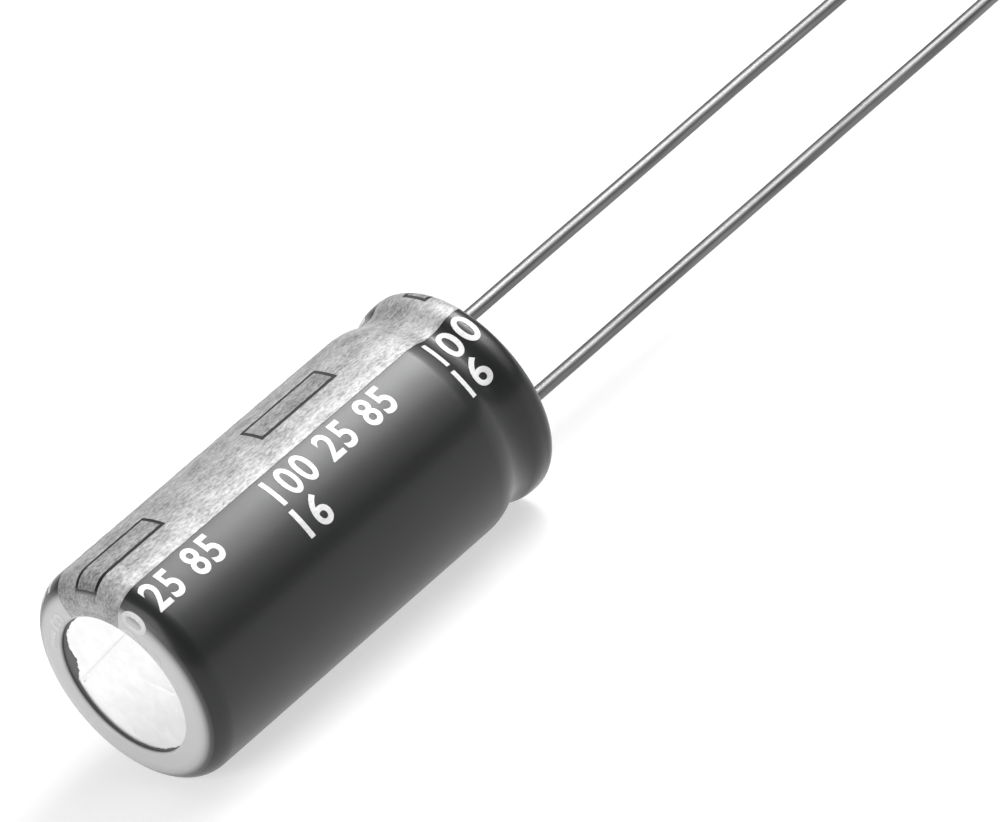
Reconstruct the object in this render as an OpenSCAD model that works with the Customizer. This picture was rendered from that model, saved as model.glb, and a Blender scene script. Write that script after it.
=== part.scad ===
// Radial aluminium electrolytic capacitor, 10 mm across and 20 mm long, lying on its side.
// The body lies along X with its can end towards -X and its two wires towards +X.
// The printed stripe and the negative wire are uppermost. Z = 0 is what it lies on.
// Each piece is drawn upright round its own axis and then laid down as one.

/* [Body] */
// Outer diameter of the sleeved body
body_d = 10; // [9.6:0.2:16]
// Length of the sleeved body, without its wires
body_l = 21; // [18:0.5:32]
// Outer radius where the side rolls over to the can end
shoulder_r = 1.1; // [0.8:0.1:1.5]
// Outer radius where the side rolls over to the wire end
rim_r = 0.6; // [0.55:0.05:0.8]
// How much smaller in radius the rim is than the body
rim_drop = 0.06; // [0:0.02:0.14]

/* [Bead groove] */
// Straight stretch left between the groove and the can's curled edge
rim_land = 0.07; // [0.03:0.02:0.6]
// Depth of the groove, as the sleeve shows it
bead_depth = 0.4; // [0.25:0.05:0.5]
// Radius of each of the three arcs that make the groove
bead_r = 1.15; // [1:0.05:1.3]

/* [Sleeve] */
// Thickness of the shrunk sleeve on the side
sleeve_t = 0.12; // [0.08:0.01:0.2]
// Thickness of the sleeve where it has drawn in over either end
lip_t = 0.24; // [0.2:0.02:0.3]
// Radius of the opening that leaves the can end bare
vent_open_r = 3.3; // [2.6:0.1:3.4]
// Radius of the opening round the wires
seal_open_r = 4; // [3.9:0.05:4.1]
// Thickness of the printed ink
ink_t = 0.02; // [0.01:0.01:0.04]

/* [Print] */
// Width of the silver stripe along the arc
stripe_w = 4; // [3:0.2:5]
// Width of one minus mark along the arc, over its outline
mark_w = 1.27; // [0.9:0.05:1.8]
// Length of one minus mark, over its outline
mark_l = 4.58; // [3:0.1:5]
// Distance from one minus mark to the next
mark_pitch = 10.4; // [9:0.2:12]
// Where the first full minus mark starts, measured along the body
mark_start = 10.3; // [9:0.1:11]
// Width of the bare line round each minus mark
outline_w = 0.16; // [0.06:0.02:0.2]

/* [Can] */
// Wall of the aluminium can
wall_t = 0.3; // [0.2:0.02:0.34]
// Floor of the aluminium can
floor_t = 0.4; // [0.3:0.05:0.8]
// Radius of the can's mouth, inside its curled edge
mouth_r = 3.6; // [3.4:0.05:3.7]
// Radius that the vent score stays within
vent_r = 2.9; // [2:0.1:3.1]
// Distance of the straight vent score from the middle of the end
vent_offset = 1.3; // [0.8:0.1:1.6]
// Width of the vent score
score_w = 0.12; // [0.08:0.02:0.2]
// Depth of the vent score
score_depth = 0.1; // [0.05:0.01:0.15]
// Angle of each slanting vent score from the straight one's square
score_angle = 38; // [30:1:45]
// Turn of the vent score round the body's axis
vent_turn = -35; // [-180:5:180]

/* [Seal] */
// Thickness of the rubber seal, up to the underside of the curled edge
seal_t = 4; // [3.7:0.1:5]
// How far the rubber stands up through the can's mouth
seal_rise = 0.25; // [0.1:0.05:0.3]

/* [Wires] */
// Distance between the two wires
lead_pitch = 5; // [4.6:0.1:5.2]
// Diameter of each wire
wire_d = 0.6; // [0.45:0.05:0.8]
// Length of the positive wire outside the seal
anode_l = 35; // [10:1:40]
// Length of the negative wire outside the seal
cathode_l = 30; // [10:1:40]
// How far inside the seal's face each wire is welded to its tab
weld_depth = 0.9; // [0.6:0.1:1.5]

/* [Tabs] */
// Diameter of the round aluminium stem in the seal
stem_d = 1.2; // [1:0.1:1.5]
// Thickness of the flattened part of each tab
tab_t = 0.2; // [0.15:0.01:0.3]
// Width of the flattened part of each tab
tab_w = 2; // [1.4:0.1:2.2]
// Distance from the top of the winding to the start of the neck
neck_start = 0.2; // [0.1:0.05:0.3]
// Length of the neck between the stem and the flattened part
neck_l = 0.8; // [0.5:0.1:1]
// How far each tab stops short of the bottom of the winding
tab_short = 1.5; // [0.5:0.5:4]

/* [Winding] */
// Radius of the hole left by the winding pin
core_r = 0.9; // [0.7:0.05:1.2]
// Thickness of the etched anode foil
anode_foil_t = 0.11; // [0.08:0.01:0.14]
// Thickness of the cathode foil
cathode_foil_t = 0.07; // [0.05:0.01:0.1]
// Thickness of each separator paper
paper_t = 0.06; // [0.04:0.01:0.08]
// How far each foil stops short of the papers' edges
foil_inset = 0.6; // [0.4:0.1:1.5]
// Thickness of the finishing tape
tape_t = 0.05; // [0.03:0.01:0.08]
// Width of the finishing tape, along the axis
tape_w = 9; // [5:0.5:12]
// Gap between the winding and the floor of the can
roll_gap = 0.3; // [0.2:0.05:0.6]
// Room between the winding and the seal, for the necks of the tabs
neck_room = 1.49; // [1.3:0.01:3]

/* [Clearances] */
// Gap between the sleeve and the can, and between the can and the seal
fit_gap = 0.01; // [0.005:0.005:0.02]
// Gap between the layers of the winding
layer_gap = 0.01; // [0.01:0.005:0.02]
// Gap on each side of a tab in the winding
tab_gap = 0.04; // [0.04:0.01:0.06]
// Least gap between the winding and the wall of the can
roll_side_gap = 0.1; // [0.05:0.05:0.3]
// Gap round each wire where it leaves the seal
wire_gap = 0.1; // [0.05:0.05:0.15]
// Gap between the seal and the weld at the foot of each wire
weld_gap = 0.02; // [0.01:0.01:0.04]

/* [Hidden] */
$fn = 96;
// How far a cutting shape runs past what it cuts
over = 1;

body_r = body_d / 2;
// Insets of the can's outside and inside from the sleeve's outline
can_side = sleeve_t + fit_gap;
can_near = lip_t + fit_gap;
inside_side = can_side + wall_t;
inside_near = can_near + floor_t;
inside_far = can_near + wall_t;

can_shoulder = shoulder_r - sleeve_t;
can_rim = rim_r - sleeve_t;

// Half lengths of the groove, from its waist to the body and to the rim
bead_reach = 2 * bead_r;
bead_near_run = sqrt(bead_depth * (2 * bead_reach - bead_depth));
rim_depth = bead_depth - rim_drop;
bead_far_run = sqrt(rim_depth * (2 * bead_reach - rim_depth));

// Stations along the axis, from the can end
bead_z = body_l - inside_far - (can_rim - wall_t) - rim_land - bead_far_run;
rim_start = body_l - rim_r;
mouth_z = body_l - can_near;
seal_top = body_l - inside_far - fit_gap;
seal_face = seal_top + seal_rise;
seal_bottom = seal_top - seal_t;
weld_z = seal_face - weld_depth;
wire_bore_d = wire_d + 2 * wire_gap;
roll_bottom = inside_near + roll_gap;
roll_top = seal_bottom - neck_room;
neck_bottom = roll_top + neck_start;
neck_top = neck_bottom + neck_l;
// The papers are as wide as the room that is left for them, along the axis
paper_w = roll_top - roll_bottom;

// Angles that the printed widths take up round the sleeve
stripe_angle = arc_angle(stripe_w, body_r);
mark_angle = arc_angle(mark_w, body_r);
outline_angle = arc_angle(outline_w, body_r);
// The stripe and the negative side face this way round the upright axis
cathode_side = 180;
// The marks follow each other at one pitch, and the end ones run over the round corners
mark_starts = [mark_start - mark_pitch, mark_start, mark_start + mark_pitch];

// Each turn of the winding is paper, anode foil, paper, cathode foil
layer_t = [paper_t, anode_foil_t, paper_t, cathode_foil_t];
turn_t = 2 * paper_t + anode_foil_t + cathode_foil_t + 4 * layer_gap;
half_step = turn_t / 2;
// A tab between two layers pushes all that lies outside it to its own side by twice this
bulge = tab_t / 2 + tab_gap;
roll_limit = body_r - inside_side - roll_side_gap;
// Half turn after which each tab lies, the nearest to its wire
anode_turn = 2 * round((lead_pitch / 2 + half_step / 2 - core_r - layer_top(1) - bulge) / turn_t);
cathode_turn = 1 + 2 * round((lead_pitch / 2 - half_step / 2 - core_r - layer_top(3) - bulge) / turn_t);
anode_tab_r = core_r - half_step / 2 + half_step * anode_turn + layer_top(1) + bulge;
cathode_tab_r = core_r + half_step / 2 + half_step * (cathode_turn - 1) + layer_top(3) + bulge;
// Half turns of the paper that stays inside the last foil
roll_halves = 2 * floor(((roll_limit - core_r - 2 * bulge - paper_t - layer_gap - tape_t)
    / half_step - 1.5) / 2);

// The whole part reaches from the ink on the can end to the tip of the longer wire
tip_z = seal_face + max(anode_l, cathode_l);
can_end_x = -(tip_z - ink_t) / 2;

function arc_angle(width, radius) = width / radius * 180 / PI;
function layer_bottom(i) = i == 0 ? 0 : layer_bottom(i - 1) + layer_t[i - 1] + layer_gap;
function layer_top(i) = layer_bottom(i) + layer_t[i];

// A layer outside the anode tab is pushed out one turn sooner than a layer inside it
function past_anode(k, i) = k > (i > 1 ? anode_turn - 2 : anode_turn) ? 1 : 0;
function past_cathode(k) = k > cathode_turn ? 1 : 0;
// Half turn k of layer i is half a circle, and neighbouring halves meet end to end
function half_radius(k, i) = core_r + half_step * k + bulge * (past_anode(k, i) + past_cathode(k));
function half_centre(k, i) =
    (k % 2 == 0 ? -1 : 1) * half_step / 2 + bulge * (past_anode(k, i) - past_cathode(k));

// Half of the body's lengthwise section, inset from the sleeve's outside.
// The groove is a hollow arc between two round ones, each tangent to the next.
module outline(side = 0, near = 0, far = 0, shoulder = shoulder_r, rim = rim_r) {
    r = body_r - side;
    r2 = r - rim_drop;
    hollow_r = bead_r + side;
    round_r = bead_r - side;
    share = round_r / bead_reach;
    near_z = bead_z - bead_near_run;
    far_z = bead_z + bead_far_run;
    end_z = body_l - far;
    rim_z = end_z - rim;
    waist = [r - bead_depth + hollow_r, bead_z];
    near_round = [r - round_r, near_z];
    far_round = [r2 - round_r, far_z];
    difference() {
        union() {
            translate([0, near]) square([r - shoulder, near_z - near]);
            translate([0, near + shoulder]) square([r, near_z - near - shoulder]);
            translate([r - shoulder, near + shoulder]) circle(shoulder);
            polygon([
                [0, near_z - over], near_round - [0, over],
                near_round + share * (waist - near_round),
                far_round + share * (waist - far_round),
                [far_round[0], rim_z], [0, rim_z]
            ]);
            translate(near_round) circle(round_r);
            intersection() {
                translate(far_round) circle(round_r);
                translate([0, bead_z]) square([r2, rim_z - bead_z]);
            }
            translate([0, bead_z]) square([r2 - rim, end_z - bead_z]);
            translate([0, far_z]) square([r2, rim_z - far_z]);
            translate([r2 - rim, rim_z]) circle(rim);
        }
        translate(waist) circle(hollow_r);
        translate([-body_r, 0]) square([body_r, body_l]);
    }
}

module can_outline(grow = 0) {
    outline(can_side - grow, can_near - grow, can_near - grow, can_shoulder + grow, can_rim + grow);
}

module inside_outline(grow = 0) {
    outline(inside_side - grow, inside_near - grow, inside_far - grow,
        can_shoulder - wall_t + grow, can_rim - wall_t + grow);
}

// Everything within a radius, between two stations
module core_2d(r, bottom, top) {
    translate([0, bottom]) square([r, top - bottom]);
}

// Section of the sleeve, whose drawn-in edges end round at both openings
module sleeve_2d() {
    edge = lip_t / 2;
    difference() {
        outline();
        can_outline(fit_gap);
        core_2d(vent_open_r + edge, -over, body_l / 2);
        core_2d(seal_open_r + edge, body_l / 2, body_l + over);
    }
    translate([vent_open_r + edge, edge]) circle(edge);
    translate([seal_open_r + edge, body_l - edge]) circle(edge);
}

module sleeve() {
    color("#303234") rotate_extrude() sleeve_2d();
}

// Section of the ink all along the sleeve, between its two openings
module ink_2d() {
    difference() {
        outline(-ink_t, -ink_t, -ink_t, shoulder_r + ink_t, rim_r + ink_t);
        outline();
        core_2d(vent_open_r + lip_t / 2, -over, body_l / 2);
        core_2d(seal_open_r + lip_t / 2, body_l / 2, body_l + over);
    }
}

// A place along the sleeve's surface, as the point that it is square to and its direction.
// Places run along the side, and past either end of it round the corner and over the face.
function place(p) =
    let (
        shoulder = [body_r - shoulder_r, shoulder_r],
        rim = [body_r - rim_drop - rim_r, rim_start],
        shoulder_turn = (shoulder_r - p) / shoulder_r * 180 / PI,
        rim_turn = (p - rim_start) / rim_r * 180 / PI
    )
    p < shoulder_r
        ? (shoulder_turn < 90
            ? [shoulder, [cos(shoulder_turn), -sin(shoulder_turn)]]
            : [[max(shoulder[0] - shoulder_r * (shoulder_turn - 90) * PI / 180, 0), shoulder[1]], [0, -1]])
    : p > rim_start
        ? (rim_turn < 90
            ? [rim, [cos(rim_turn), sin(rim_turn)]]
            : [[max(rim[0] - rim_r * (rim_turn - 90) * PI / 180, 0), rim[1]], [0, 1]])
    : [[shoulder[0], p], [1, 0]];

// The part of the section between two places
module span_2d(from, to) {
    first = place(from);
    last = place(to);
    out = body_r;
    polygon([
        first[0], first[0] + out * first[1],
        if (from < shoulder_r && to >= shoulder_r) [2 * out, -out],
        if (from <= rim_start && to > rim_start) [2 * out, body_l + out],
        last[0] + out * last[1], last[0]
    ]);
}

// Turns a section into a sector centred on the negative side
module sector(angle) {
    rotate(cathode_side - angle / 2) rotate_extrude(angle = angle) children();
}

// One minus mark as a block through the ink, drawn in by an inset all round
module mark_block(start, inset = 0, inset_angle = 0) {
    sector(mark_angle - 2 * inset_angle) span_2d(start + inset, start + mark_l - inset);
}

module polarity_stripe() {
    color("#d2d4d5") difference() {
        sector(stripe_angle) ink_2d();
        for (start = mark_starts) mark_block(start);
    }
}

module minus_marks() {
    color("#a9acad") for (start = mark_starts) {
        intersection() {
            sector(mark_angle - 2 * outline_angle) ink_2d();
            mark_block(start, outline_w, outline_angle);
        }
    }
}

// Section of the deep-drawn can, whose curled edge ends round at the mouth
module can_2d() {
    edge = wall_t / 2;
    difference() {
        can_outline();
        inside_outline();
        core_2d(mouth_r + edge, body_l / 2, body_l + over);
    }
    translate([mouth_r + edge, mouth_z - edge]) circle(edge);
}

// One straight score line from the middle of the first one
module score_line(length) {
    translate([0, -score_w / 2, can_near - over]) cube([length, score_w, over + score_depth]);
}

// The vent: one straight score and two slanting ones that run from its middle
module vent_score() {
    rotate(vent_turn) intersection() {
        translate([0, 0, -over]) cylinder(r = vent_r, h = 2 * over);
        translate([-vent_offset, 0, 0]) {
            translate([0, -vent_r, 0]) rotate(90) score_line(2 * vent_r);
            for (angle = [-score_angle, score_angle]) rotate(angle) score_line(2 * vent_r);
        }
    }
}

module can() {
    color("#d8d9da") difference() {
        rotate_extrude() can_2d();
        vent_score();
    }
}

// Section of the rubber seal, pressed into the can behind the groove and up through the mouth
module seal_2d() {
    intersection() {
        inside_outline(-fit_gap);
        core_2d(body_r, seal_bottom, seal_top);
    }
    core_2d(mouth_r - fit_gap, seal_top - over, seal_face);
}

// Puts a piece on the positive side (1) or the negative side (-1)
module at_lead(side) {
    translate([side * lead_pitch / 2, 0, 0]) children();
}

module end_seal() {
    color("#26272a") difference() {
        rotate_extrude() seal_2d();
        for (side = [-1, 1]) at_lead(side) {
            translate([0, 0, seal_bottom - over])
                cylinder(d = stem_d + 2 * fit_gap, h = weld_z + fit_gap - seal_bottom + over);
            translate([0, 0, weld_z]) cylinder(d = wire_bore_d, h = weld_depth + over);
        }
    }
}

// A wire runs from its cone-shaped weld inside the seal to its cut tip
module wire(side, length) {
    color("#b9bbbc") at_lead(side) {
        translate([0, 0, weld_z])
            cylinder(d1 = wire_bore_d - 2 * weld_gap, d2 = wire_d, h = weld_depth);
        translate([0, 0, seal_face]) cylinder(d = wire_d, h = length);
    }
}

module anode_wire() { wire(1, anode_l); }
module cathode_wire() { wire(-1, cathode_l); }

// A tab: the round stem in the seal, a wedge-shaped neck, and the flattened part that is
// bent to the curve of the winding at its own radius
module tab(side, plate_r) {
    plate_angle = arc_angle(tab_w, plate_r);
    plate_bottom = roll_bottom + tab_short;
    color("#c4c6c8") {
        at_lead(side) {
            translate([0, 0, neck_top]) cylinder(d = stem_d, h = weld_z - neck_top);
            intersection() {
                translate([0, 0, neck_bottom]) cylinder(d = stem_d, h = neck_l);
                translate([0, stem_d / 2, 0]) rotate([90, 0, 0]) linear_extrude(stem_d) polygon([
                    [-tab_t / 2, neck_bottom], [tab_t / 2, neck_bottom],
                    [stem_d / 2, neck_top], [-stem_d / 2, neck_top]
                ]);
            }
        }
        rotate((side > 0 ? 0 : 180) - plate_angle / 2)
            rotate_extrude(angle = plate_angle)
                translate([plate_r - tab_t / 2, plate_bottom])
                    square([tab_t, neck_bottom + neck_l / 2 - plate_bottom]);
    }
}

module anode_tab() { tab(1, anode_tab_r); }
module cathode_tab() { tab(-1, cathode_tab_r); }

// One wound layer: half rings that step outward and meet end to end, as a roll's turns do
module wound_layer(i, first, last, base, t, bottom, height) {
    for (k = [first : last]) {
        translate([half_centre(k, i), 0, bottom])
            rotate(k % 2 == 0 ? 0 : 180)
                rotate_extrude(angle = 180)
                    translate([half_radius(k, i) + base, 0]) square([t, height]);
    }
}

module separator(i, last) {
    color("#e8dfc6")
        wound_layer(i, 0, last, layer_bottom(i), paper_t, roll_bottom, paper_w);
}

module foil(i, last, tint) {
    color(tint)
        wound_layer(i, 1, last, layer_bottom(i), layer_t[i],
            roll_bottom + foil_inset, paper_w - 2 * foil_inset);
}

// The inner paper runs a full turn past the foils, and the tape goes once round it
module inner_separator() { separator(0, roll_halves + 1); }
module anode_foil() { foil(1, roll_halves - 2, "#9a9c9f"); }
module outer_separator() { separator(2, roll_halves - 1); }
module cathode_foil() { foil(3, roll_halves - 1, "#c0c2c4"); }

module finishing_tape() {
    color("#7a6a4f") wound_layer(0, roll_halves, roll_halves + 1, paper_t + layer_gap, tape_t,
        roll_bottom + (paper_w - tape_w) / 2, tape_w);
}

// Lays the upright body down on its side, with the negative side uppermost
module lay_down() {
    translate([can_end_x, 0, body_r]) rotate([0, 90, 0]) children();
}

lay_down() sleeve();
lay_down() polarity_stripe();
lay_down() minus_marks();
lay_down() can();
lay_down() end_seal();
lay_down() anode_wire();
lay_down() cathode_wire();
lay_down() anode_tab();
lay_down() cathode_tab();
lay_down() anode_foil();
lay_down() cathode_foil();
lay_down() inner_separator();
lay_down() outer_separator();
lay_down() finishing_tape();
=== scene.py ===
"""Looks of a radial electrolytic capacitor that lies on its side. Lengths are in mm until to_row()."""
import math

import bmesh
import bpy
from mathutils import Matrix, Vector


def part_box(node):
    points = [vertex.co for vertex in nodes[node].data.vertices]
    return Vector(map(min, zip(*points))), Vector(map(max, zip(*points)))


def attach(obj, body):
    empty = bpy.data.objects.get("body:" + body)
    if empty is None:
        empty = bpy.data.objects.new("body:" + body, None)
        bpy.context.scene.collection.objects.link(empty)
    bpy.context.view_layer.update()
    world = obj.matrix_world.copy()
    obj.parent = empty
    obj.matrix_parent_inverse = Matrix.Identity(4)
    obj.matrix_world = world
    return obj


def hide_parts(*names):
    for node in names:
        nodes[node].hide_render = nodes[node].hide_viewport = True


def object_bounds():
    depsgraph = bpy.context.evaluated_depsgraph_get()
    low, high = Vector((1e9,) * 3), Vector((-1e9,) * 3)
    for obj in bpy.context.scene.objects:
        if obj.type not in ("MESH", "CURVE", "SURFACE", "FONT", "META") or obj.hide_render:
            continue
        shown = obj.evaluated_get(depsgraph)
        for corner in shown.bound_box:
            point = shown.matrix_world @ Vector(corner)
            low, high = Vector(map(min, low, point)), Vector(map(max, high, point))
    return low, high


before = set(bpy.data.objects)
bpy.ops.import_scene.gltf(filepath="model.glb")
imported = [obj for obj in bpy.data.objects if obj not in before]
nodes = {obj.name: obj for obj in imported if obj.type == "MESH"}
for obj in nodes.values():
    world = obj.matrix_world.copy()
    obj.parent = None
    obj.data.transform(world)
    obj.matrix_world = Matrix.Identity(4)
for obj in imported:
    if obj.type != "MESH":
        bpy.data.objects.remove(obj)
cad_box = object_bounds()

MM = 0.001

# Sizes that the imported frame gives
sleeve_low, sleeve_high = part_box("sleeve")
BODY_R = (sleeve_high.z - sleeve_low.z) / 2 / MM
BODY_L = (sleeve_high.x - sleeve_low.x) / MM
AXIS_Z = (sleeve_high.z + sleeve_low.z) / 2 / MM
CAN_END_X = sleeve_low.x / MM

# The sleeve's outline, as the part's source has it
SHOULDER_R = 1.1
RIM_R = 0.6
RIM_DROP = 0.06
# The film bridges the can's groove, so its own groove is shallower, with gentler bends
GROOVE_Z = 18.997
GROOVE_DEPTH = 0.34
GROOVE_R = 1.5
NEAR_ROUND_R = 2.6
FAR_ROUND_R = 1.1
FILM_T = 0.12
LIP_T = 0.24
VENT_OPEN_R = 3.3
SEAL_OPEN_R = 4.0
INK_T = 0.02
# The ink stands up a little less than the source's, so that nothing reaches past its box
INK_RISE = 0.9 * INK_T

# The print, which the shrunk film holds a little wider and further round than it was drawn
STRIPE_W = 4.2
MARK_W = 1.42
PRINT_SHIFT = 0.09
MARK_L = 4.58
MARK_PITCH = 10.4
MARK_START = 10.3
OUTLINE_W = 0.18
# How far the groove pulls back the print beyond it
GROOVE_PULL = 0.44

SEGMENTS = 240
# Longest cells along the sleeve: on its flat ends, its shoulder, its plain side, its bends and its inside
FLAT_CELL, SHOULDER_CELL, SIDE_CELL, BEND_CELL, INSIDE_CELL = 0.1, 0.08, 1.0, 0.06, 0.12
# Cells round an opening's edge, and round the inside of the shoulder and of the rim
LIP_CELLS, INNER_SHOULDER_CELLS, INNER_RIM_CELLS = 12, 12, 8
SHARP_ANGLE = math.radians(35)

RIM_START = BODY_L - RIM_R
RIM_SIDE_R = BODY_R - RIM_DROP
RIM_DEPTH = GROOVE_DEPTH - RIM_DROP
NEAR_REACH = NEAR_ROUND_R + GROOVE_R
FAR_REACH = FAR_ROUND_R + GROOVE_R
GROOVE_NEAR = GROOVE_Z - math.sqrt(GROOVE_DEPTH * (2 * NEAR_REACH - GROOVE_DEPTH))
GROOVE_FAR = GROOVE_Z + math.sqrt(RIM_DEPTH * (2 * FAR_REACH - RIM_DEPTH))
HOLLOW_START = GROOVE_NEAR + (GROOVE_Z - GROOVE_NEAR) * NEAR_ROUND_R / NEAR_REACH
HOLLOW_END = GROOVE_FAR - (GROOVE_FAR - GROOVE_Z) * FAR_ROUND_R / FAR_REACH
SHOULDER_ARC = SHOULDER_R * math.pi / 2
RIM_ARC = RIM_R * math.pi / 2
# Places along the outline where the flat end faces meet the openings' round edges
FIRST_PLACE = SHOULDER_R - SHOULDER_ARC - (BODY_R - SHOULDER_R - VENT_OPEN_R - LIP_T / 2)
LAST_PLACE = RIM_START + RIM_ARC + (RIM_SIDE_R - RIM_R - SEAL_OPEN_R - LIP_T / 2)


def to_row(r, z, phi):
    """A point of the body, from its radius, its station and its angle from the top towards -Y, in metres."""
    return Vector((CAN_END_X + z, -r * math.sin(phi), AXIS_Z + r * math.cos(phi))) * MM


def groove_arc(arc_r, centre_r, centre_z, z, way):
    """Radius and normal of one of the groove's arcs; way is 1 on a round arc and -1 on the hollow one."""
    run = z - centre_z
    rise = math.sqrt(arc_r ** 2 - run ** 2)
    return centre_r + way * rise, (rise / arc_r, way * run / arc_r)


def surface(place):
    """(radius, station) and outward normal of the sleeve's outline at a place along it."""
    if place < SHOULDER_R:
        turn = (SHOULDER_R - place) / SHOULDER_R
        if turn < math.pi / 2:
            normal = (math.cos(turn), -math.sin(turn))
            return (BODY_R - SHOULDER_R + SHOULDER_R * normal[0], SHOULDER_R + SHOULDER_R * normal[1]), normal
        return (BODY_R - SHOULDER_R - SHOULDER_R * (turn - math.pi / 2), 0.0), (0.0, -1.0)
    if place > RIM_START:
        turn = (place - RIM_START) / RIM_R
        if turn < math.pi / 2:
            normal = (math.cos(turn), math.sin(turn))
            return (RIM_SIDE_R - RIM_R + RIM_R * normal[0], RIM_START + RIM_R * normal[1]), normal
        return (RIM_SIDE_R - RIM_R - RIM_R * (turn - math.pi / 2), BODY_L), (0.0, 1.0)
    if place <= GROOVE_NEAR:
        return (BODY_R, place), (1.0, 0.0)
    if place >= GROOVE_FAR:
        return (RIM_SIDE_R, place), (1.0, 0.0)
    if place < HOLLOW_START:
        r, normal = groove_arc(NEAR_ROUND_R, BODY_R - NEAR_ROUND_R, GROOVE_NEAR, place, 1)
    elif place > HOLLOW_END:
        r, normal = groove_arc(FAR_ROUND_R, RIM_SIDE_R - FAR_ROUND_R, GROOVE_FAR, place, 1)
    else:
        r, normal = groove_arc(GROOVE_R, BODY_R - GROOVE_DEPTH + GROOVE_R, GROOVE_Z, place, -1)
    return (r, place), normal


def skin(place, phi, lift=0.0):
    """A point over the sleeve's surface, at a place along it and an angle, lifted off it."""
    (r, z), (nr, nz) = surface(place)
    return to_row(r + lift * nr, z + lift * nz, phi)


def steps(first, last, longest):
    """Evenly spaced values from first to last, no further apart than longest."""
    count = max(1, math.ceil((last - first) / longest - 1e-9))
    return [first + (last - first) * i / count for i in range(count + 1)]


def merged(*lists):
    """Sorted values of several lists, each once."""
    values = []
    for value in sorted(v for one in lists for v in one):
        if not values or value - values[-1] > 1e-6:
            values.append(value)
    return values


def outline_places():
    """Places along the outline, closer together where it curves."""
    return merged(
        steps(FIRST_PLACE, SHOULDER_R - SHOULDER_ARC, FLAT_CELL),
        steps(SHOULDER_R - SHOULDER_ARC, SHOULDER_R, SHOULDER_CELL),
        steps(SHOULDER_R, GROOVE_NEAR, SIDE_CELL),
        steps(GROOVE_NEAR, GROOVE_FAR, BEND_CELL),
        steps(GROOVE_FAR, RIM_START, FLAT_CELL),
        steps(RIM_START, RIM_START + RIM_ARC, BEND_CELL),
        steps(RIM_START + RIM_ARC, LAST_PLACE, FLAT_CELL),
    )


def finished(name, bm, material, stands_for=()):
    """Makes a smooth-shaded piece of a bmesh. It rides on the body and stands for the nodes named."""
    bmesh.ops.remove_doubles(bm, verts=bm.verts, dist=1e-8)
    bmesh.ops.recalc_face_normals(bm, faces=bm.faces)
    mesh = bpy.data.meshes.new(name)
    bm.to_mesh(mesh)
    bm.free()
    for polygon in mesh.polygons:
        polygon.use_smooth = True
    mesh.set_sharp_from_angle(angle=SHARP_ANGLE)
    piece = bpy.data.objects.new(name, mesh)
    bpy.context.scene.collection.objects.link(piece)
    mesh.materials.append(material)
    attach(piece, "root")
    if stands_for:
        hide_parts(*stands_for)


def lathe(profile):
    """A closed ring of a closed profile of (radius, station), as a bmesh."""
    bm = bmesh.new()
    turns = [2 * math.pi * i / SEGMENTS for i in range(SEGMENTS)]
    rings = [[bm.verts.new(to_row(r, z, turn)) for turn in turns] for r, z in profile]
    for ring, following in zip(rings, rings[1:] + rings[:1]):
        for i in range(SEGMENTS):
            j = (i + 1) % SEGMENTS
            bm.faces.new((ring[i], ring[j], following[j], following[i]))
    return bm


def closed_skin(bm, front, back, faces):
    """Faces between front vertices, the same between back ones, and a wall along every open edge."""
    edges = {(a, b) for face in faces for a, b in zip(face, face[1:] + face[:1])}
    for face in faces:
        bm.faces.new([front[at] for at in face])
        bm.faces.new([back[at] for at in reversed(face)])
    for a, b in edges:
        if (b, a) not in edges:
            bm.faces.new((front[b], front[a], back[a], back[b]))


def arc(centre_r, centre_z, radius, first_deg, last_deg, count):
    """Points of an arc in a profile, from one angle to another; 0 degrees points away from the axis."""
    found = []
    for i in range(count + 1):
        a = math.radians(first_deg + (last_deg - first_deg) * i / count)
        found.append((centre_r + radius * math.cos(a), centre_z + radius * math.sin(a)))
    return found


# Materials

def shader(name, **sockets):
    """A new material with its Principled shader's sockets set by name."""
    material = bpy.data.materials.new(name)
    material.use_nodes = True
    tree = material.node_tree
    principled = tree.nodes["Principled BSDF"]
    for socket, value in sockets.items():
        principled.inputs[socket.replace("_", " ")].default_value = value
    return material, tree, principled


def noise(tree, scale, detail=3.0, roughness=0.5, stretch=(1, 1, 1)):
    """A noise texture in the piece's own coordinates, with its scale in cycles a mm."""
    coordinates = tree.nodes.new("ShaderNodeTexCoord")
    mapping = tree.nodes.new("ShaderNodeMapping")
    mapping.inputs["Scale"].default_value = [scale / MM * s for s in stretch]
    texture = tree.nodes.new("ShaderNodeTexNoise")
    texture.inputs["Scale"].default_value = 1.0
    texture.inputs["Detail"].default_value = detail
    texture.inputs["Roughness"].default_value = roughness
    tree.links.new(coordinates.outputs["Object"], mapping.inputs["Vector"])
    tree.links.new(mapping.outputs["Vector"], texture.inputs["Vector"])
    return texture.outputs["Fac"]


def ramp(tree, factor, *stops):
    """A colour ramp through (position, colour) stops."""
    node = tree.nodes.new("ShaderNodeValToRGB")
    elements = node.color_ramp.elements
    elements[0].position, elements[0].color = stops[0][0], (*stops[0][1], 1)
    elements[1].position, elements[1].color = stops[-1][0], (*stops[-1][1], 1)
    for position, colour in stops[1:-1]:
        elements.new(position).color = (*colour, 1)
    tree.links.new(factor, node.inputs["Fac"])
    return node.outputs["Color"]


def spread(tree, factor, low, high, from_low=0.0, from_high=1.0):
    """A factor mapped to a range."""
    node = tree.nodes.new("ShaderNodeMapRange")
    node.inputs["From Min"].default_value = from_low
    node.inputs["From Max"].default_value = from_high
    node.inputs["To Min"].default_value = low
    node.inputs["To Max"].default_value = high
    tree.links.new(factor, node.inputs["Value"])
    return node.outputs["Result"]


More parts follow.
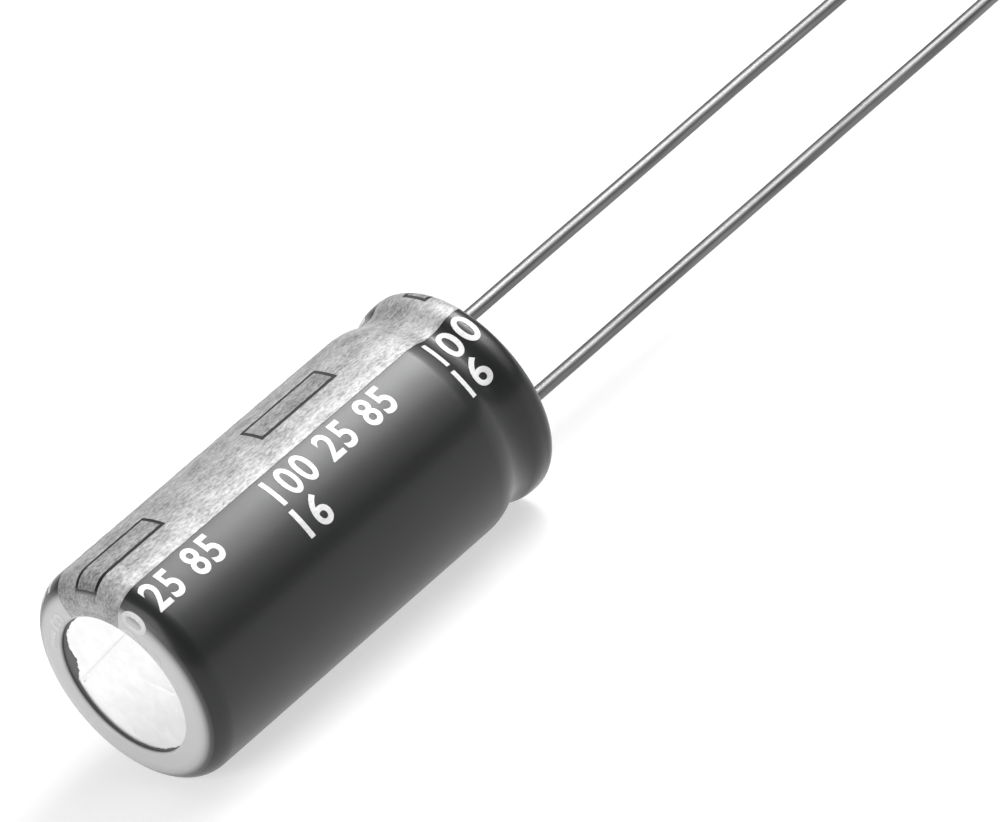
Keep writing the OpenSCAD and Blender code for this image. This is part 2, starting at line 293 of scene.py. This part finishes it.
def maths(tree, operation, *inputs):
    """The result of a Math node; each input is a socket or a number."""
    node = tree.nodes.new("ShaderNodeMath")
    node.operation = operation
    for socket, value in zip(node.inputs, inputs):
        if isinstance(value, bpy.types.NodeSocket):
            tree.links.new(value, socket)
        else:
            socket.default_value = value
    return node.outputs[0]


def bump(tree, principled, height, distance):
    """Bumps the surface by a height factor, over a distance in mm."""
    node = tree.nodes.new("ShaderNodeBump")
    node.inputs["Strength"].default_value = 1.0
    node.inputs["Distance"].default_value = distance * MM
    tree.links.new(height, node.inputs["Height"])
    tree.links.new(node.outputs["Normal"], principled.inputs["Normal"])


def grey(value):
    return (value, value, value)


FILM_DARK = (0.004, 0.0045, 0.005)
# How far along the part the painted reflection, a pale tone painted on the sleeve's end face, blends into its
# dark side
PAINTED_REFLECTION_REACH = 0.3
# How much of the ink's tone is fine grain and how much is cloud
GRAIN_SHARE, CLOUD_SHARE = 0.65, 0.35


def film_material():
    """Dark glossy shrink film, with a painted reflection: pale grey painted where it lies flat on the can's
    end.
    """
    material, tree, principled = shader(
        "sleeve_film", IOR=1.38, Coat_Weight=0.7, Coat_IOR=1.4, Coat_Roughness=0.24)
    coordinates = tree.nodes.new("ShaderNodeTexCoord")
    split = tree.nodes.new("ShaderNodeSeparateXYZ")
    tree.links.new(coordinates.outputs["Object"], split.inputs["Vector"])
    flat = spread(tree, split.outputs["X"], 1.0, 0.0, CAN_END_X * MM, (CAN_END_X + PAINTED_REFLECTION_REACH) * MM)
    # Painted reflection: the end face is painted pale grey, fading over the shoulder into the dark film.
    colour = ramp(tree, flat, (0.0, FILM_DARK), (0.4, grey(0.1)), (0.8, grey(0.62)), (1.0, grey(0.7)))
    tree.links.new(colour, principled.inputs["Base Color"])
    tree.links.new(spread(tree, noise(tree, 0.4, detail=1.0), 0.46, 0.54), principled.inputs["Roughness"])
    bump(tree, principled, noise(tree, 0.25, detail=0.0), 0.01)
    return material


def ink_material(name, low, high, roughness, metallic):
    """Silver printing ink with a fine, uneven grain drawn out along the part."""
    material, tree, principled = shader(name, Metallic=metallic)
    grain = noise(tree, 9.0, detail=3.0, roughness=0.7, stretch=(0.45, 1, 1))
    cloud = noise(tree, 1.3, detail=3.0, stretch=(0.6, 1, 1))
    tone = maths(tree, "MULTIPLY_ADD", grain, GRAIN_SHARE, spread(tree, cloud, 0.0, CLOUD_SHARE))
    colour = ramp(tree, tone, (0.36, grey(low)), (0.64, grey(high)))
    tree.links.new(colour, principled.inputs["Base Color"])
    tree.links.new(spread(tree, grain, roughness + 0.1, roughness - 0.1), principled.inputs["Roughness"])
    bump(tree, principled, grain, 0.004)
    return material


def aluminium_material():
    """Bright drawn aluminium with faint drawing marks."""
    material, tree, principled = shader("can_aluminium", Metallic=1.0)
    marks = noise(tree, 1.2, detail=5.0, roughness=0.6)
    tree.links.new(ramp(tree, marks, (0.3, grey(0.82)), (0.7, grey(0.93))), principled.inputs["Base Color"])
    tree.links.new(spread(tree, marks, 0.16, 0.3), principled.inputs["Roughness"])
    bump(tree, principled, noise(tree, 3.0, detail=4.0), 0.002)
    return material


def wire_material():
    """Tinned wire with fine lines along its length, its tone painted far darker than tinned metal as painted
    shade for the dark surroundings it mirrors.
    """
    material, tree, principled = shader("tinned_wire", Metallic=1.0)
    lines = noise(tree, 4.0, detail=3.0, stretch=(0.05, 1, 1))
    # Painted shade: the base tone is painted far darker than tinned metal, standing in for the dark room that
    # the wire mirrors.
    tree.links.new(ramp(tree, lines, (0.3, grey(0.11)), (0.7, grey(0.2))), principled.inputs["Base Color"])
    tree.links.new(spread(tree, lines, 0.34, 0.46), principled.inputs["Roughness"])
    bump(tree, principled, noise(tree, 3.0, detail=3.0), 0.003)
    return material


def plain_material(name, low, high, roughness, metallic=0.0, scale=2.0, depth=0.004):
    """A material with a fine uneven tone, roughness and bump, for the hidden pieces and the rubber."""
    material, tree, principled = shader(name, Metallic=metallic)
    tone = noise(tree, scale, detail=4.0)
    tree.links.new(ramp(tree, tone, (0.3, low), (0.7, high)), principled.inputs["Base Color"])
    tree.links.new(spread(tree, tone, roughness - 0.06, roughness + 0.06), principled.inputs["Roughness"])
    bump(tree, principled, tone, depth)
    return material


film = film_material()
silver_ink = ink_material("silver_ink", 0.2, 0.6, 0.48, 0.25)
mark_ink = ink_material("mark_ink", 0.11, 0.48, 0.55, 0.2)
print_ink = ink_material("print_ink", 0.66, 0.86, 0.5, 0.1)
aluminium = aluminium_material()
tinned = wire_material()
rubber = plain_material("seal_rubber", grey(0.022), grey(0.04), 0.62, depth=0.01)
satin = plain_material("tab_aluminium", grey(0.7), grey(0.8), 0.35, metallic=1.0)
etched = plain_material("etched_foil", grey(0.28), grey(0.38), 0.6, metallic=1.0)
plain_foil = plain_material("plain_foil", grey(0.55), grey(0.66), 0.4, metallic=1.0)
paper = plain_material("separator_paper", (0.68, 0.6, 0.43), (0.8, 0.72, 0.55), 0.8)
tape = plain_material("tape_film", (0.26, 0.17, 0.08), (0.34, 0.23, 0.12), 0.4)


# Pieces

def make_sleeve():
    """The shrink sleeve as one closed shell, drawn in to a round edge at both openings."""
    edge = LIP_T / 2
    outer = [surface(place)[0] for place in outline_places()]
    seal_edge = arc(SEAL_OPEN_R + edge, BODY_L - edge, edge, 90, 270, LIP_CELLS)[1:]
    bend_r = RIM_R - FILM_T
    inner = arc(RIM_SIDE_R - FILM_T - bend_r, BODY_L - LIP_T - bend_r, bend_r, 90, 0, INNER_RIM_CELLS)
    for place in reversed(steps(SHOULDER_R, RIM_START - LIP_T, INSIDE_CELL)):
        (r, z), (nr, nz) = surface(place)
        inner.append((r - FILM_T * nr, z - FILM_T * nz))
    bend_r = SHOULDER_R - FILM_T
    inner += arc(BODY_R - FILM_T - bend_r, LIP_T + bend_r, bend_r, 0, -90, INNER_SHOULDER_CELLS)
    vent_edge = arc(VENT_OPEN_R + edge, edge, edge, 90, 270, LIP_CELLS)[:-1]
    shell = lathe(outer + seal_edge + inner + vent_edge)
    finished("sleeve_film", shell, film, ["sleeve"])


def ink_skin(corners, faces):
    """A closed skin of ink from corners (place, angle) and faces that index them."""
    bm = bmesh.new()
    upper = [bm.verts.new(skin(place, phi, INK_RISE)) for place, phi in corners]
    lower = [bm.verts.new(skin(place, phi, -INK_T)) for place, phi in corners]
    closed_skin(bm, upper, lower, faces)
    return bm


def ink_field(places, angles, inked):
    """Ink over the cells of a grid for which inked(place, angle) is true."""
    corners, faces, index = [], [], {}
    for i in range(len(places) - 1):
        for j in range(len(angles) - 1):
            if not inked((places[i] + places[i + 1]) / 2, (angles[j] + angles[j + 1]) / 2):
                continue
            face = []
            for at in ((i, j), (i + 1, j), (i + 1, j + 1), (i, j + 1)):
                if at not in index:
                    index[at] = len(corners)
                    corners.append((places[at[0]], angles[at[1]]))
                face.append(index[at])
            faces.append(face)
    return ink_skin(corners, faces)


# Angles, in radians
STRIPE_HALF = STRIPE_W / BODY_R / 2
STRIPE_CELL = 0.03
MARK_HALF = MARK_W / BODY_R / 2
PRINT_TURN = PRINT_SHIFT / BODY_R
# Where each minus mark starts along the sleeve
MARK_STARTS = [MARK_START - MARK_PITCH, MARK_START, MARK_START + MARK_PITCH - GROOVE_PULL]


def in_mark(place, phi, inset=0.0):
    """Whether a place lies in a minus mark, drawn in by an inset all round."""
    if abs(phi - PRINT_TURN) > MARK_HALF - inset / BODY_R:
        return False
    return any(start + inset < place < start + MARK_L - inset for start in MARK_STARTS)


def make_stripe():
    """The silver stripe and its minus marks, each mark inside a bare line."""
    ends = [start + side for start in MARK_STARTS for side in (0, MARK_L, OUTLINE_W, MARK_L - OUTLINE_W)]
    places = [p for p in merged(outline_places(), ends) if p <= LAST_PLACE]
    halves = [MARK_HALF, MARK_HALF - OUTLINE_W / BODY_R]
    offsets = merged(steps(-STRIPE_HALF, STRIPE_HALF, STRIPE_CELL), halves, [-half for half in halves])
    angles = [PRINT_TURN + offset for offset in offsets]
    stripe = ink_field(places, angles, lambda place, phi: not in_mark(place, phi))
    finished("stripe_ink", stripe, silver_ink, ["polarity_stripe"])
    marks = ink_field(places, angles, lambda place, phi: in_mark(place, phi, OUTLINE_W))
    finished("minus_ink", marks, mark_ink, ["minus_marks"])


# Plain numbers: text, start along the sleeve, drop below the first row, height and width
ROW_TOP = math.radians(27.5)
FAR_ROW_TOP = math.radians(33)
ROWS = [("100 25 85", 8.2, 0.0, 1.45, 7.1), ("16", 8.1, 1.7, 1.45, 1.55)]
# How much the ink widens each stroke, and the distance between characters, as shares of the font's own
STROKE_GAIN = 0.018
CHARACTER_SPACE = 1.12
TEXT_CELL = 0.12


def flat_text(text, height, width):
    """A text as flat faces with its lower left corner at zero, cut into small cells."""
    curve = bpy.data.curves.new("row", "FONT")
    curve.body = text
    curve.resolution_u = 6
    curve.offset = STROKE_GAIN
    curve.space_character = CHARACTER_SPACE
    holder = bpy.data.objects.new("row", curve)
    bpy.context.scene.collection.objects.link(holder)
    bpy.context.view_layer.update()
    bm = bmesh.new()
    bm.from_mesh(holder.to_mesh())
    bpy.data.objects.remove(holder)
    bpy.data.curves.remove(curve)
    for axis, size in ((0, width), (1, height)):
        low, high = min(v.co[axis] for v in bm.verts), max(v.co[axis] for v in bm.verts)
        for v in bm.verts:
            v.co[axis] = (v.co[axis] - low) / (high - low) * size
        for value in steps(0, size, TEXT_CELL)[1:-1]:
            cut(bm, axis, value)
    return bm


def cut(bm, axis, value, clear_above=False, clear_below=False):
    """Cuts flat faces along a line, and clears them above or below it if asked."""
    point, normal = Vector(), Vector()
    point[axis], normal[axis] = value, 1
    bmesh.ops.bisect_plane(bm, geom=bm.verts[:] + bm.edges[:] + bm.faces[:], plane_co=point, plane_no=normal,
                           clear_outer=clear_above, clear_inner=clear_below)


def printed(text, start, top, height, width, side):
    """A text wrapped onto the sleeve as ink; side is 1 towards the camera and -1 beyond the stripe."""
    bm = flat_text(text, height, width)
    if side > 0:
        cut(bm, 0, LAST_PLACE - start, clear_above=True)
        cut(bm, 0, FIRST_PLACE - start, clear_below=True)
    else:
        cut(bm, 0, start + width - FIRST_PLACE, clear_above=True)
        cut(bm, 0, start + width - LAST_PLACE, clear_below=True)
    bm.verts.index_update()
    corners = []
    for v in bm.verts:
        place = start + v.co.x if side > 0 else start + width - v.co.x
        corners.append((place, side * (top + (height - v.co.y) / BODY_R)))
    faces = [[v.index for v in face.verts] for face in bm.faces]
    bm.free()
    return ink_skin(corners, faces)


def make_numbers():
    """Rows of numbers on both sides of the stripe, repeated along the sleeve at the marks' pitch."""
    made = bmesh.new()
    for text, start, drop, height, width in ROWS:
        for shift in (-MARK_PITCH, 0.0, MARK_PITCH - GROOVE_PULL):
            for side, top in ((1, ROW_TOP), (-1, FAR_ROW_TOP)):
                row = printed(text, start + shift, top + drop / BODY_R, height, width, side)
                joined = bpy.data.meshes.new("row")
                row.to_mesh(joined)
                row.free()
                made.from_mesh(joined)
                bpy.data.meshes.remove(joined)
    finished("printed_numbers", made, print_ink)


# The stamped face of the can's end and its vent, as the part's source has it; the scores show faintly
CAN_FACE_Z = 0.25
FACE_R = 3.4
FACE_RISE = 0.03
FACE_SINK = 0.04
FACE_CELL = 0.05
VENT_R = 2.9
VENT_OFFSET = 1.3
VENT_TURN = math.radians(-35)
SCORE_ANGLE = math.radians(38)
SCORE_HALF_W = 0.07
LONG_SCORE_DEPTH, SIDE_SCORE_DEPTH = 0.05, 0.018


def score_depth(x, y):
    """Depth of the vent's scores at a point of the can's end, in the vent's own directions."""
    deepest = 0.0
    if math.hypot(x, y) < VENT_R:
        deepest = LONG_SCORE_DEPTH * math.exp(-((x + VENT_OFFSET) / SCORE_HALF_W) ** 2)
        for angle in (-SCORE_ANGLE, SCORE_ANGLE):
            run = (x + VENT_OFFSET) * math.cos(angle) + y * math.sin(angle)
            off = y * math.cos(angle) - (x + VENT_OFFSET) * math.sin(angle)
            if run > 0:
                deepest = max(deepest, SIDE_SCORE_DEPTH * math.exp(-(off / SCORE_HALF_W) ** 2))
    return deepest


def make_can_face():
    """The skin of the can's bare end, with soft shallow scores."""
    bm = bmesh.new()
    count = math.ceil(FACE_R / FACE_CELL)
    front, back = {}, {}
    for i in range(-count, count + 1):
        for j in range(-count, count + 1):
            across, up = i * FACE_CELL, j * FACE_CELL
            if math.hypot(across, up) > FACE_R:
                continue
            x = -up * math.cos(VENT_TURN) - across * math.sin(VENT_TURN)
            y = up * math.sin(VENT_TURN) - across * math.cos(VENT_TURN)
            r, phi = math.hypot(across, up), math.atan2(across, up)
            front[i, j] = bm.verts.new(to_row(r, CAN_FACE_Z - FACE_RISE + score_depth(x, y), phi))
            back[i, j] = bm.verts.new(to_row(r, CAN_FACE_Z + FACE_SINK, phi))
    cells = [[(i, j), (i + 1, j), (i + 1, j + 1), (i, j + 1)] for i, j in front]
    closed_skin(bm, front, back, [cell for cell in cells if all(at in front for at in cell)])
    for layer in (front, back):
        for vertex in layer.values():
            if not vertex.link_faces:
                bm.verts.remove(vertex)
    finished("can_end_face", bm, aluminium)


# The ragged edge of the film inside the opening, a dark sheet that is partly the film's real cut edge and
# partly painted shade for the shaded gap under the lip: where it runs, fades out and is widest, in degrees
RAGGED_FROM, RAGGED_TO = 150, 338
RAGGED_FADE = 12
RAGGED_PEAK, RAGGED_SPREAD = 280, 15
RAGGED_CELL = 0.5
# How far in it reaches: at its ends, more in the middle, and most at its peak
END_REACH, MIDDLE_REACH, PEAK_REACH = 0.03, 0.06, 0.5
# Its fraying: size, waves a turn and start; it is stronger towards the peak
FRAYS = [(0.03, 23, 0), (0.02, 57, 1), (0.015, 131, 2)]
FRAY_BASE, FRAY_GAIN = 0.6, 2
# How far it stands off the can's end at its tip, how much more at its root, and how far it sinks in
TIP_LIFT, ROOT_LIFT, EDGE_SINK = 0.015, 0.04, 0.01
EDGE_CELLS = 6


def ragged_reach(degrees):
    """How far the film's cut edge reaches in over the can's end at an angle."""
    a = math.radians(degrees)
    broad = PEAK_REACH * math.exp(-((degrees - RAGGED_PEAK) / RAGGED_SPREAD) ** 2)
    fray = sum(size * math.sin(waves * a + start) for size, waves, start in FRAYS)
    share = min(degrees - RAGGED_FROM, RAGGED_TO - degrees, RAGGED_FADE) / RAGGED_FADE
    return END_REACH + share * (MIDDLE_REACH + broad + fray * (FRAY_BASE + FRAY_GAIN * broad))


def make_ragged_edge():
    """The film's uneven cut edge, which lies on the can's end inside the lip; its wide dark wedge is painted
    shade for the shaded gap under the lip.
    """
    bm = bmesh.new()
    outer_r = VENT_OPEN_R + LIP_T / 2
    angles = steps(RAGGED_FROM, RAGGED_TO, RAGGED_CELL)
    front, back = [], []
    for degrees in angles:
        phi = math.radians(degrees)
        inner_r = VENT_OPEN_R - ragged_reach(degrees)
        radii = [inner_r + (outer_r - inner_r) * i / EDGE_CELLS for i in range(EDGE_CELLS + 1)]
        lift = [FACE_RISE + TIP_LIFT + ROOT_LIFT * i / EDGE_CELLS for i in range(EDGE_CELLS + 1)]
        front.append([bm.verts.new(to_row(r, CAN_FACE_Z - rise, phi)) for r, rise in zip(radii, lift)])
        back.append([bm.verts.new(to_row(r, CAN_FACE_Z + EDGE_SINK, phi)) for r in radii])
    for layer in (front, back):
        for one, other in zip(layer, layer[1:]):
            for i in range(EDGE_CELLS):
                bm.faces.new((one[i], one[i + 1], other[i + 1], other[i]))
    for i in range(len(angles) - 1):
        for side in (0, EDGE_CELLS):
            bm.faces.new((front[i][side], front[i + 1][side], back[i + 1][side], back[i][side]))
    for end in (0, -1):
        for i in range(EDGE_CELLS):
            bm.faces.new((front[end][i], front[end][i + 1], back[end][i + 1], back[end][i]))
    # Dark film sheet: partly the real cut edge, partly painted shade for the gap under the lip.
    finished("sleeve_cut_edge_and_painted_shade", bm, film)


# The wires: the cone-shaped weld inside the seal, the shaft, and the cut tip with its bevel
WIRE_R = 0.3
WIRE_SIDES = 32
WELD_L, WELD_FLARE, WELD_CELL = 0.9, 0.08, 0.3
SHAFT_CELL = 0.5
TIP_L, BEVEL_L = 0.12, 0.04
BEVEL_DROP, TIP_DROP = 0.012, 0.05
# Their waviness, which fades out at both ends: size, and turn in radians a mm
WAVE_FADE = 3
WAVE_Y, WAVE_Y_RATE = 0.012, 0.35
WAVE_Z, WAVE_Z_RATE = 0.01, 0.5


def make_wire(name, node, bend):
    """A tinned wire with a faint waviness and a cut tip; bend is 1 or -1, so that the two differ."""
    low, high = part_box(node)
    centre_z = (low.z + high.z) / 2 / MM
    first, last = low.x / MM, high.x / MM
    shaft = first + WELD_L
    bm = bmesh.new()
    rings = []
    stations = merged(
        steps(first, shaft, WELD_CELL), steps(shaft, last - TIP_L, SHAFT_CELL), [last - BEVEL_L, last])
    for x in stations:
        run = max(x - first - WELD_L, 0)
        fade = min(run / WAVE_FADE, 1, (last - x) / WAVE_FADE)
        shift_y = bend * fade * WAVE_Y * math.sin(run * WAVE_Y_RATE + bend)
        shift_z = fade * WAVE_Z * math.sin(run * WAVE_Z_RATE + 2 * bend)
        r = WIRE_R
        if x >= last - BEVEL_L:
            r = WIRE_R - (TIP_DROP if x >= last else BEVEL_DROP)
        if x < shaft:
            r = WIRE_R + WELD_FLARE * (shaft - x) / WELD_L
        ring = []
        for i in range(WIRE_SIDES):
            a = 2 * math.pi * i / WIRE_SIDES
            y, z = shift_y + r * math.cos(a), centre_z + shift_z + r * math.sin(a)
            ring.append(bm.verts.new(Vector((x, y, z)) * MM))
        rings.append(ring)
    for ring, following in zip(rings, rings[1:]):
        for i in range(WIRE_SIDES):
            j = (i + 1) % WIRE_SIDES
            bm.faces.new((ring[i], ring[j], following[j], following[i]))
    bm.faces.new(rings[0])
    bm.faces.new(rings[-1])
    finished(name, bm, tinned, [node])


def dress_hidden():
    """Materials of the CAD nodes that stay as they are."""
    looks = {
        "can": aluminium,
        "end_seal": rubber,
        "anode_tab": satin,
        "cathode_tab": satin,
        "anode_foil": etched,
        "cathode_foil": plain_foil,
        "inner_separator": paper,
        "outer_separator": paper,
        "finishing_tape": tape,
    }
    for name, material in looks.items():
        nodes[name].data.materials.clear()
        nodes[name].data.materials.append(material)


make_sleeve()
make_can_face()
make_ragged_edge()
make_stripe()
make_numbers()
make_wire("anode_lead", "anode_wire", 1)
make_wire("cathode_lead", "cathode_wire", -1)
dress_hidden()


# Stage

FLOOR_SIZE = 4.0
FLOOR_TONE = 0.44
FLOOR_GLOW = 0.6
ROOM_LIGHT = 0.2

# The photograph's view: how far the body's axis leans out of the picture, how far its side is turned, and
# how far the axis is turned up in the picture
AXIS_LEAN = math.radians(30.98)
SIDE_TURN = math.radians(57.21)
PICTURE_TURN = math.radians(41.09)
AIM = Vector((CAN_END_X + 15.80, -8.90, AXIS_Z + 3.80)) * MM
CAMERA_DISTANCE = 0.4141
LENS = 376.0
SENSOR_W = 36.0
CLIP_NEAR, CLIP_FAR = 0.01, 20.0


def placed(point, right, up, back):
    """The matrix of a lamp or camera at a point, from the directions of its own X, Y and Z."""
    return Matrix.Translation(point) @ Matrix((right, up, back)).transposed().to_4x4()


def make_floor():
    """A plain pale floor, which keeps its shadows and is white to the camera and to gloss elsewhere."""
    bpy.ops.mesh.primitive_plane_add(size=FLOOR_SIZE, location=(0, 0, cad_box[0].z))
    floor = bpy.context.object
    floor.name = "floor"
    material, tree, principled = shader("floor", Base_Color=(*grey(FLOOR_TONE), 1), Roughness=1.0)
    principled.inputs["Specular IOR Level"].default_value = 0.0
    rays = tree.nodes.new("ShaderNodeLightPath").outputs
    mirrored = maths(tree, "MAXIMUM", rays["Is Glossy Ray"], rays["Is Transmission Ray"])
    seen = maths(tree, "MAXIMUM", rays["Is Camera Ray"], mirrored)
    principled.inputs["Emission Color"].default_value = (1, 1, 1, 1)
    tree.links.new(maths(tree, "MULTIPLY", seen, FLOOR_GLOW), principled.inputs["Emission Strength"])
    floor.data.materials.append(material)


def softbox(name, way, across, distance, width, height, radiance):
    """An area lamp in a direction, facing the part, with its width along the direction across."""
    lamp = bpy.data.lights.new(name, "AREA")
    lamp.shape = "RECTANGLE"
    lamp.size, lamp.size_y = width, height
    lamp.energy = radiance * math.pi * width * height
    holder = bpy.data.objects.new(name, lamp)
    way = Vector(way).normalized()
    up = way.cross(Vector(across)).normalized()
    holder.matrix_world = placed(way * distance, up.cross(way), up, way)
    bpy.context.scene.collection.objects.link(holder)


# The arch of lamps that the sleeve mirrors, by their angle from overhead towards the camera
ARCH_DISTANCE = 0.35
ARCH_WIDTH = 0.05
ARCH_STEP = 5
ARCH_FIRST, ARCH_LAST = -66, 69
BACK_END, PEAK_START, PEAK_END = -26, -8, 11
BACK_RADIANCE = 1.2
ARCH_RADIANCE = 5.0
PEAK_RADIANCE = 24.0
ARCH_FADE = 20.0
# A broad dim lamp round the arch's bright part, so that the groove and the shoulders shade softly
SKY_TURN = 14
SKY_WIDTH, SKY_HEIGHT = 0.36, 0.3
SKY_RADIANCE = 1.7
# The fill lamp beyond the can end
FILL_WAY = (-0.85, -0.1, 0.5)
FILL_DISTANCE = 0.45
FILL_SIZE = 0.3
FILL_RADIANCE = 3.6


def arch_way(degrees):
    """The direction of a lamp in the arch's plane, from its angle from overhead towards the camera."""
    angle = math.radians(degrees)
    reach = math.cos(AXIS_LEAN)
    return math.sin(AXIS_LEAN), -reach * math.sin(angle), reach * math.cos(angle)


def arch_radiance(degrees):
    """Plain white beyond the part, bright overhead, and fading towards the camera."""
    if degrees < BACK_END:
        return BACK_RADIANCE
    if degrees < PEAK_START:
        return ARCH_RADIANCE
    return PEAK_RADIANCE * math.exp(-max(degrees - PEAK_END, 0) / ARCH_FADE)


def make_light():
    """An arch of soft lamps, a broad one round it, a fill at the can end and a dim room."""
    length = 2 * ARCH_DISTANCE * math.tan(math.radians(ARCH_STEP / 2))
    for degrees in range(ARCH_FIRST, ARCH_LAST + 1, ARCH_STEP):
        softbox(f"arch_{degrees}", arch_way(degrees), (1, 0, 0), ARCH_DISTANCE, ARCH_WIDTH, length,
                arch_radiance(degrees))
    softbox("sky", arch_way(SKY_TURN), (1, 0, 0), ARCH_DISTANCE, SKY_WIDTH, SKY_HEIGHT, SKY_RADIANCE)
    softbox("fill", FILL_WAY, (0, 1, 0), FILL_DISTANCE, FILL_SIZE, FILL_SIZE, FILL_RADIANCE)
    world = bpy.data.worlds.new("room")
    world.use_nodes = True
    background = world.node_tree.nodes["Background"]
    background.inputs["Color"].default_value = (1, 1, 1, 1)
    background.inputs["Strength"].default_value = ROOM_LIGHT
    bpy.context.scene.world = world


def make_camera():
    """A camera at the photograph's viewing angle and distance."""
    along = Vector((math.cos(AXIS_LEAN), -math.sin(AXIS_LEAN) * math.sin(SIDE_TURN),
                    math.sin(AXIS_LEAN) * math.cos(SIDE_TURN)))
    across = Vector((0, -math.cos(SIDE_TURN), -math.sin(SIDE_TURN)))
    right = math.cos(PICTURE_TURN) * along + math.sin(PICTURE_TURN) * across
    up = math.sin(PICTURE_TURN) * along - math.cos(PICTURE_TURN) * across
    back = right.cross(up)
    camera = bpy.data.cameras.new("camera")
    camera.lens = LENS
    camera.sensor_width = SENSOR_W
    camera.clip_start, camera.clip_end = CLIP_NEAR, CLIP_FAR
    holder = bpy.data.objects.new("camera", camera)
    holder.matrix_world = placed(AIM + CAMERA_DISTANCE * back, right, up, back)
    bpy.context.scene.collection.objects.link(holder)
    bpy.context.scene.camera = holder


make_floor()
make_light()
make_camera()
bpy.context.scene.view_settings.view_transform = "Standard"
